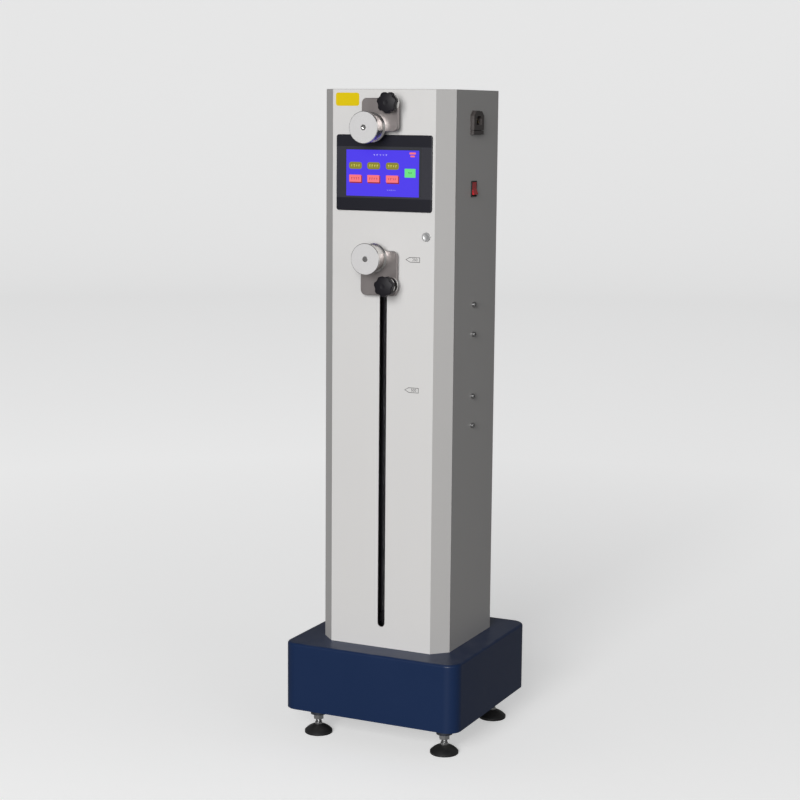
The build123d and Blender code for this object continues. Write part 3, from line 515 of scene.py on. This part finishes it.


# Painted shade: the beam is painted near black so that the slot shows dark.
dress("spine_paint", finish_of("beam_dark_shade_paint", (0.085, 0.080, 0.092), 0.6, fine=600.0, relief=0.3))
ground_steel = finish_of("ground_steel", (0.45, 0.45, 0.46), 0.28, metallic=1.0, stretch=(1, 1, 0.05))
dress("machined_steel", ground_steel)
screw_place = (0.0, -0.058)
journal_radius = 0.00495
shoulder_radius = 0.0065
ball_screw = joined(
    plain_bar(screw_place, journal_radius, low=0.167, high=0.2322),
    plain_bar(screw_place, shoulder_radius, low=0.232, high=0.2352),
    ball_groove_bar(screw_place, low=0.235, high=0.987, crest=0.008, depth=0.0011, pitch=0.010),
    plain_bar(screw_place, shoulder_radius, low=0.9868, high=0.990),
    plain_bar(screw_place, journal_radius, low=0.9898, high=1.015),
)
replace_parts(piece("ball_screw", ball_screw, ground_steel, "drive_screw"), "lead_screw")
milled = finish_of(
    "milled_aluminium",
    (0.62, 0.62, 0.63),
    0.38,
    metallic=1.0,
    stretch=(1, 0.1, 1),
    relief=0.3,
)
dress("machined_aluminium", milled)
dress("arm_steel", finish_of("arm_steel", (0.42, 0.41, 0.40), 0.4, metallic=1.0, stretch=(1, 0.08, 1)))
dress("motor_paint", finish_of("motor_paint", (0.015, 0.015, 0.016), 0.5, fine=700.0, relief=0.3))
dress("belt_rubber", finish_of("belt_rubber", (0.012, 0.012, 0.012), 0.75, relief=0.4))
dress("supply_case", finish_of("supply_case", (0.5, 0.5, 0.5), 0.45, metallic=1.0, mottle=0.1))
dress("driver_case", finish_of("driver_case", (0.06, 0.06, 0.065), 0.5, metallic=0.6))
dress("board_green", finish_of("board_green", (0.01, 0.09, 0.03), 0.3, fine=500.0, coarse=120.0, mottle=0.5))
dress("clip_plastic", finish_of("clip_plastic", (0.05, 0.05, 0.05), 0.5))


# Clamps: brushed stainless plates with fine-turned aluminium capstans, polished jaws and moulded star knobs.
# The upper plate stands on the load cell's stub; the lower one is welded to the crosshead's arm.

def turned_group():
    """Fine rings about an axis along Y: one-dimensional noise over the distance from the centre."""
    tree, given, made = new_group(
        "turned rings",
        [("Centre", "Vector", (0.0, 0.0, 0.0)), ("Ring scale", "Float", 9000.0), ("Relief", "Float", 0.3)],
        [("Rings", "Float"), ("Normal", "Vector")],
    )
    place = add(tree, "TexCoord")
    offset = add(
        tree,
        "VectorMath",
        {0: place.outputs["Object"], 1: given["Centre"]},
        operation="SUBTRACT",
    )
    flat = add(tree, "VectorMath", {0: offset.outputs[0], 1: (1.0, 0.0, 1.0)}, operation="MULTIPLY")
    length = add(tree, "VectorMath", {0: flat.outputs[0]}, operation="LENGTH")
    rings = add(
        tree,
        "TexNoise",
        noise_dimensions="1D",
        inputs={"W": length.outputs["Value"], "Scale": given["Ring scale"], "Detail": 2.0},
    )
    bump = add(
        tree,
        "Bump",
        {"Height": rings.outputs["Fac"], "Strength": given["Relief"], "Distance": 0.00002},
    )
    tree.links.new(rings.outputs["Fac"], made["Rings"])
    tree.links.new(bump.outputs["Normal"], made["Normal"])
    return tree


turned = turned_group()
capstan_metal = (0.70, 0.68, 0.66)
capstan_face = (0.68, 0.67, 0.67, 1.0)
capstan_roughness = 0.26
ring_spread = 0.1


def capstan_finish(name, centre):
    """Turned metal: rings of changing gloss about its axis, and a pale satin face towards the operator."""
    material = finish_of(name, capstan_metal, capstan_roughness, metallic=1.0, mottle=0.03)
    tree = material.node_tree
    shader = tree.nodes["Principled BSDF"]
    rings = add(tree, "Group", {"Centre": centre}, node_tree=turned)
    gloss = add(
        tree,
        "MapRange",
        {
            "Value": rings.outputs["Rings"],
            "To Min": capstan_roughness - ring_spread,
            "To Max": capstan_roughness + ring_spread,
        },
    )
    place = add(tree, "TexCoord")
    parts = add(tree, "SeparateXYZ", {0: place.outputs["Normal"]})
    face = add(tree, "MapRange", {"Value": parts.outputs["Y"], "From Min": -0.9, "From Max": -0.98})
    bare = shader.inputs["Base Color"].links[0].from_socket
    colour = add(
        tree,
        "Mix",
        data_type="RGBA",
        inputs={0: face.outputs["Result"], 6: bare, 7: capstan_face},
    )
    metal = add(tree, "MapRange", {"Value": face.outputs["Result"], "To Min": 1.0, "To Max": 0.08})
    tree.links.new(gloss.outputs["Result"], shader.inputs["Roughness"])
    tree.links.new(rings.outputs["Normal"], shader.inputs["Normal"])
    tree.links.new(colour.outputs[2], shader.inputs["Base Color"])
    tree.links.new(metal.outputs["Result"], shader.inputs["Metallic"])
    return material


brushed_plate = finish_of(
    "brushed_plate",
    (0.33, 0.30, 0.295),
    0.36,
    metallic=0.9,
    fine=1400.0,
    coarse=30.0,
    relief=0.3,
    mottle=0.12,
    stretch=(1.0, 1.0, 0.04),
)
polished_steel = finish_of(
    "polished_steel",
    (0.62, 0.61, 0.6),
    0.18,
    metallic=1.0,
    relief=0.05,
    mottle=0.05,
)
knob_black = finish_of(
    "knob_plastic",
    (0.009, 0.008, 0.011),
    0.5,
    fine=2000.0,
    relief=0.25,
    dusty=0.03,
    specular=0.25,
)
capstan_centres = {
    "upper_capstan": (-0.0116, 0.0, 1.212),
    "lower_capstan": (-0.0116, 0.0, 0.9657),
}
dress("plate_steel", brushed_plate)
for capstan, centre in capstan_centres.items():
    dress_node(capstan, capstan_finish(f"turned_{capstan}", centre))
dress("polished_steel", polished_steel)
dress("knob_plastic", knob_black)


# Touch panel: a moulded bezel under a dark film, with a lit window that shows plain coloured keys.
# The bezel's bands above and below the window are a deeper black; short strokes mark the keys.

bezel = finish_of("panel_plastic", (0.030, 0.031, 0.035), 0.38, fine=1800.0, relief=0.12, specular=0.3)
window_top = 1.1755
window_bottom = 1.0785
band_black = (0.008, 0.008, 0.014, 1.0)
side_black = (0.031, 0.031, 0.040, 1.0)
bezel_tree = bezel.node_tree
bezel_place = add(bezel_tree, "TexCoord")
bezel_parts = add(bezel_tree, "SeparateXYZ", {0: bezel_place.outputs["Object"]})
above = add(bezel_tree, "Math", {0: bezel_parts.outputs["Z"], 1: window_top}, operation="GREATER_THAN")
below = add(bezel_tree, "Math", {0: bezel_parts.outputs["Z"], 1: window_bottom}, operation="LESS_THAN")
band = add(bezel_tree, "Math", {0: above.outputs[0], 1: below.outputs[0]}, operation="ADD")
band_mix = add(
    bezel_tree,
    "Mix",
    data_type="RGBA",
    inputs={0: band.outputs[0], 6: side_black, 7: band_black},
)
bezel_tree.links.new(band_mix.outputs[2], bezel_tree.nodes["Principled BSDF"].inputs["Base Color"])
dress("panel_plastic", bezel)


def lit_finish(name, colour):
    """A lit part of the display: its colour glows, faintly speckled, under a glossy film."""
    material = bpy.data.materials.new(name)
    material.use_nodes = True
    tree = material.node_tree
    shader = tree.nodes["Principled BSDF"]
    surface = add(tree, "Group", {"Fine scale": 2600.0, "Relief": 0.03}, node_tree=grain)
    dim = [channel * 0.94 for channel in colour] + [1.0]
    shade = add(
        tree,
        "Mix",
        data_type="RGBA",
        inputs={0: surface.outputs["Fine"], 6: dim, 7: list(colour) + [1.0]},
    )
    tree.links.new(shade.outputs[2], shader.inputs["Emission Color"])
    tree.links.new(surface.outputs["Normal"], shader.inputs["Normal"])
    shader.inputs["Base Color"].default_value = (0.02, 0.02, 0.03, 1.0)
    shader.inputs["Specular IOR Level"].default_value = 0.3
    shader.inputs["Emission Strength"].default_value = 1.0
    shader.inputs["Roughness"].default_value = 0.22
    return material


def on_screen(name, mesh_data, material):
    """A piece of the display's picture."""
    piece(name, mesh_data, material, "frame")


dress("screen_film", finish_of("screen_border", (0.035, 0.036, 0.042), 0.2, relief=0.03))
screen_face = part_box("hmi_screen")[0].y
key_face = screen_face - print_thick
mark_face = key_face - print_thick
display_blue = lit_finish("display_blue", (0.064, 0.032, 0.84))
olive = lit_finish("key_olive", (0.25, 0.225, 0.004))
olive_light = lit_finish("key_olive_mark", (0.70, 0.68, 0.10))
pink = lit_finish("key_pink", (0.96, 0.18, 0.195))
pink_dark = lit_finish("key_pink_mark", (0.55, 0.05, 0.06))
red = lit_finish("key_red", (0.30, 0.010, 0.020))
green = lit_finish("key_green", (0.145, 0.78, 0.21))
green_dark = lit_finish("key_green_mark", (0.02, 0.20, 0.03))
white = lit_finish("mark_white", (0.42, 0.38, 0.93))
display_centre = (-0.00065, 1.1255)
key_columns = (-0.0575, -0.019, 0.0205)
olive_level = 1.1395
shade_level = 1.1145
shade_shift = 0.0012
pink_level = 1.1152
pink_shift = -0.0005
green_place = (0.0575, 1.127)


def strokes(centre, width, height, count, seed, face=mark_face, thick=0.00005):
    """A row of short upright and level strokes, each a little different in height and place."""
    random = np.random.default_rng(seed)
    step = width / count
    parts = []
    for index in range(count):
        x = centre[0] - width / 2 + (index + 0.5) * step
        tall = height * random.uniform(0.6, 1.0)
        level_bar = rounded_outline(step * 0.55, tall * 0.28, 0.0001, 2)
        upright = rounded_outline(step * 0.2, tall * 0.8, 0.0001, 2)
        upright_x = x + random.uniform(-0.15, 0.15) * step
        parts.append(front_slab(level_bar, (x, centre[1] + tall * 0.3), face, thick))
        parts.append(front_slab(upright, (upright_x, centre[1] - tall * 0.1), face, thick))
    return joined(*parts)


def slabs(outline, places, face, thick=print_thick):
    """The same slab at several places."""
    return joined(*[front_slab(outline, place, face, thick) for place in places])


on_screen(
    "display_area",
    front_slab(rounded_outline(0.1533, 0.088, 0.0005, 2), display_centre, screen_face),
    display_blue,
)
on_screen(
    "olive_keys",
    slabs(rounded_outline(0.0275, 0.0135, 0.005), [(x, olive_level) for x in key_columns], key_face),
    olive,
)
on_screen(
    "red_key_shades",
    slabs(
        rounded_outline(0.0265, 0.0145, 0.0008),
        [(x + shade_shift, shade_level - shade_shift) for x in key_columns],
        key_face,
    ),
    red,
)
on_screen(
    "pink_keys",
    slabs(
        rounded_outline(0.0255, 0.0135, 0.0006, 2),
        [(x + pink_shift, pink_level) for x in key_columns],
        mark_face,
        thick=0.00008,
    ),
    pink,
)
on_screen("green_key", front_slab(rounded_outline(0.0225, 0.0165, 0.0006), green_place, key_face), green)
olive_marks = [strokes((x, 1.1393), 0.021, 0.0055, 4, 3 + i) for i, x in enumerate(key_columns)]
on_screen("olive_key_marks", joined(*olive_marks), olive_light)
pink_marks = [
    strokes((x + pink_shift, 1.115), 0.019, 0.005, 4, 9 + i, face=mark_face - print_thick)
    for i, x in enumerate(key_columns)
]
on_screen("pink_key_marks", joined(*pink_marks), pink_dark)
on_screen("green_key_mark", strokes(green_place, 0.009, 0.004, 2, 5), green_dark)
on_screen("title_strokes", strokes((-0.005, 1.160), 0.032, 0.0034, 5, 7), white)
on_screen("footer_strokes", strokes((0.0185, 1.094), 0.020, 0.0024, 5, 8), white)
corner_mark = joined(
    front_slab(rounded_outline(0.013, 0.0035, 0.0005, 2), (0.0625, 1.164), key_face),
    front_slab(rounded_outline(0.009, 0.003, 0.0005, 2), (0.0625, 1.1585), key_face),
)
on_screen("corner_mark", corner_mark, pink)


# Start button, rocker switch and mains inlet: turned steel, glossy red and moulded black plastic.
# Each sits in its own cut-out of the casing and is held from inside.

button_steel = finish_of(
    "button_steel",
    (0.56, 0.56, 0.56),
    0.34,
    metallic=0.75,
    fine=2500.0,
    mottle=0.08,
)
inlet_plastic = finish_of(
    "inlet_plastic",
    (0.058, 0.050, 0.048),
    0.5,
    fine=2000.0,
    relief=0.3,
    dusty=0.1,
)
dress("button_metal", button_steel)
dress("switch_black", finish_of("switch_black", (0.012, 0.012, 0.012), 0.4, relief=0.2))
dress("rocker_red", finish_of("rocker_red", (0.52, 0.012, 0.018), 0.22, relief=0.05, mottle=0.05))
dress("inlet_plastic", inlet_plastic)
dress("pin_metal", finish_of("pin_metal", (0.6, 0.5, 0.3), 0.25, metallic=1.0))


# Stage: a pale studio floor that turns up into a wall, a large soft key light before the object, a weak
# fill from the right, and the photograph's camera. Seen directly the floor glows, so that it stays pale
# round a softly lit object; metal and glass see a quarter of that glow.

def bowl(flat, bend, wall, around=96, steps=24):
    """A floor of radius flat that turns up into a wall: r = flat + bend sin a, z = bend (1 - cos a)."""
    a = np.linspace(0, math.pi / 2, steps)
    radii = np.concatenate([[0.01, flat * 0.5, flat], flat + bend * np.sin(a[1:]), [flat + bend]])
    heights = np.concatenate([[0, 0, 0], bend * (1 - np.cos(a[1:])), [bend + wall]])
    angle = np.linspace(0, 2 * math.pi, around, endpoint=False)
    verts = np.stack([
        radii[:, None] * np.cos(angle),
        radii[:, None] * np.sin(angle),
        np.repeat(heights[:, None], around, 1),
    ], -1).reshape(-1, 3)
    low = np.arange(len(radii) - 1)[:, None] * around + np.arange(around)
    nxt = np.roll(low, -1, axis=1)
    quads = np.stack([low, low + around, nxt + around, nxt], -1).reshape(-1, 4)
    return verts, quads.tolist() + [list(range(around))]


floor_grey = (0.80, 0.80, 0.80, 1.0)
floor_pale = (0.82, 0.82, 0.81, 1.0)
lit_grey = (0.22, 0.22, 0.22, 1.0)
mirrored_share = 0.25
glow_near = 0.45
glow_far = 0.62
studio = bpy.data.materials.new("studio_pale")
studio.use_nodes = True
studio_tree = studio.node_tree
paths = add(studio_tree, "LightPath")
studio_place = add(studio_tree, "TexCoord")
studio_noise = add(studio_tree, "TexNoise", {"Vector": studio_place.outputs["Object"], "Scale": 3.0})
studio_pale = add(
    studio_tree,
    "Mix",
    data_type="RGBA",
    inputs={0: studio_noise.outputs["Fac"], 6: floor_grey, 7: floor_pale},
)
mirrored = add(
    studio_tree,
    "Math",
    {0: paths.outputs["Is Glossy Ray"], 1: paths.outputs["Is Transmission Ray"]},
    operation="MAXIMUM",
)
seen = add(
    studio_tree,
    "Math",
    {0: mirrored.outputs[0], 1: mirrored_share, 2: paths.outputs["Is Camera Ray"]},
    operation="MULTIPLY_ADD",
)
studio_shade = add(
    studio_tree,
    "Mix",
    data_type="RGBA",
    inputs={0: paths.outputs["Is Camera Ray"], 6: lit_grey, 7: studio_pale.outputs[2]},
)
studio_centre = add(studio_tree, "VectorMath", {0: studio_place.outputs["Object"]}, operation="LENGTH")
studio_far = add(
    studio_tree,
    "MapRange",
    {
        "Value": studio_centre.outputs["Value"],
        "From Min": 0.3,
        "From Max": 3.0,
        "To Min": glow_near,
        "To Max": glow_far,
    },
)
studio_glow = add(
    studio_tree,
    "Math",
    {0: studio_far.outputs["Result"], 1: seen.outputs[0]},
    operation="MULTIPLY",
)
studio_shader = studio_tree.nodes["Principled BSDF"]
studio_shader.inputs["Emission Color"].default_value = (1.0, 1.0, 1.0, 1.0)
studio_tree.links.new(studio_glow.outputs[0], studio_shader.inputs["Emission Strength"])
studio_tree.links.new(studio_shade.outputs[2], studio_shader.inputs["Base Color"])
studio_shader.inputs["Roughness"].default_value = 0.9
studio_shader.inputs["Specular IOR Level"].default_value = 0.0
bowl_verts, bowl_faces = bowl(flat=9.0, bend=4.0, wall=4.0)
bowl_mesh = bpy.data.meshes.new("studio_floor")
bowl_mesh.from_pydata(bowl_verts.tolist(), [], bowl_faces)
bowl_mesh.polygons.foreach_set("use_smooth", [True] * len(bowl_mesh.polygons))
bowl_mesh.materials.append(studio)
studio_floor = bpy.data.objects.new("studio_floor", bowl_mesh)
bpy.context.scene.collection.objects.link(studio_floor)

world = bpy.data.worlds.new("studio_air")
world.use_nodes = True
bpy.context.scene.world = world
world_light = world.node_tree.nodes["Background"]
world_light.inputs["Color"].default_value = (0.95, 0.97, 1.0, 1.0)
world_light.inputs["Strength"].default_value = 0.12


def lamp(name, azimuth, elevation, distance, size, watts, target):
    """A square soft light aimed at the column; azimuth 0 is straight ahead of it and 90 to its right."""
    light = bpy.data.lights.new(name, "AREA")
    light.shape = "SQUARE"
    light.size = size
    light.energy = watts
    a, e = math.radians(azimuth), math.radians(elevation)
    away = Vector((math.sin(a) * math.cos(e), -math.cos(a) * math.cos(e), math.sin(e)))
    holder = bpy.data.objects.new(name, light)
    bpy.context.scene.collection.objects.link(holder)
    rotation = (-away).to_track_quat("-Z", "Y").to_matrix().to_4x4()
    holder.matrix_world = Matrix.Translation(Vector(target) + away * distance) @ rotation


lamp(
    "key_light",
    azimuth=10.0,
    elevation=15.0,
    distance=8.5,
    size=4.0,
    watts=650.0,
    target=(0.0, 0.0, 0.52),
)
lamp(
    "fill_light",
    azimuth=60.0,
    elevation=15.0,
    distance=6.5,
    size=3.0,
    watts=23.0,
    target=(0.0, 0.0, 0.65),
)

camera_place = Vector((1.5524, -3.3226, 1.2412))
focal_pixels = 1859.98
photo_width = 800
sensor_width = 36.0
yaw, pitch, roll = (math.radians(value) for value in (25.343, -8.808, 0.502))
ahead = Vector((-math.sin(yaw) * math.cos(pitch), math.cos(yaw) * math.cos(pitch), math.sin(pitch)))
level_right = Vector((math.cos(yaw), math.sin(yaw), 0.0))
level_up = level_right.cross(ahead)
camera_right = level_right * math.cos(roll) + level_up * math.sin(roll)
camera_up = level_up * math.cos(roll) - level_right * math.sin(roll)
camera_data = bpy.data.cameras.new("photo_camera")
camera_data.sensor_width = sensor_width
camera_data.lens = focal_pixels / photo_width * sensor_width
camera_data.clip_end = 50.0
camera = bpy.data.objects.new("photo_camera", camera_data)
bpy.context.scene.collection.objects.link(camera)
rotation = Matrix((camera_right, camera_up, -ahead)).transposed().to_4x4()
camera.matrix_world = Matrix.Translation(camera_place) @ rotation
bpy.context.scene.camera = camera
bpy.context.scene.view_settings.view_transform = "Standard"
